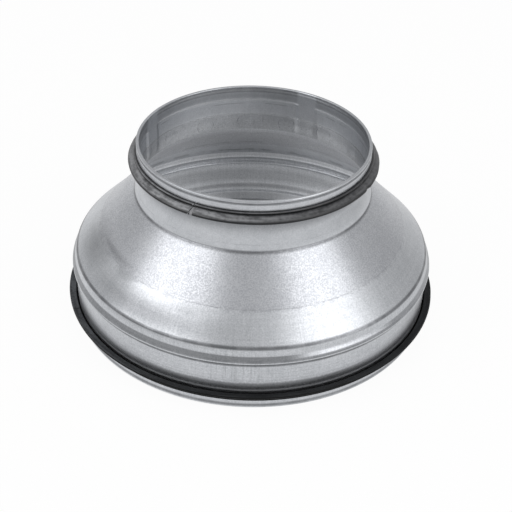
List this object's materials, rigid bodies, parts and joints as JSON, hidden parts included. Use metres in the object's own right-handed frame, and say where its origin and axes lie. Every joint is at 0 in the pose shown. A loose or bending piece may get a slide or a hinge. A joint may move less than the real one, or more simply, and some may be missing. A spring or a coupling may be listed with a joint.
{
  "type": "duct reducer",
  "caption": "Concentric pressed-steel duct reducer: a cone between a wide skirt and a narrow neck, both ends male with a folded rim and a double-lip rubber gasket.",
  "frame": {"origin": "on the axis, in the plane of the large rim that the reducer stands on", "axes": "+Z along the duct axis from the large end to the small end; the front of the picture faces -Y"},
  "size_m": [0.2618, 0.2618, 0.1279],
  "materials": {
    "pressing": "satin galvanised, drawn",
    "collar": "satin galvanised, rolled",
    "seal": "matt black rubber"
  },
  "bodies": {
    "root": {"pressed_cone": "pressing", "neck_collar": "collar", "neck_gasket": "seal", "skirt_gasket": "seal"}
  },
  "joints": []
}
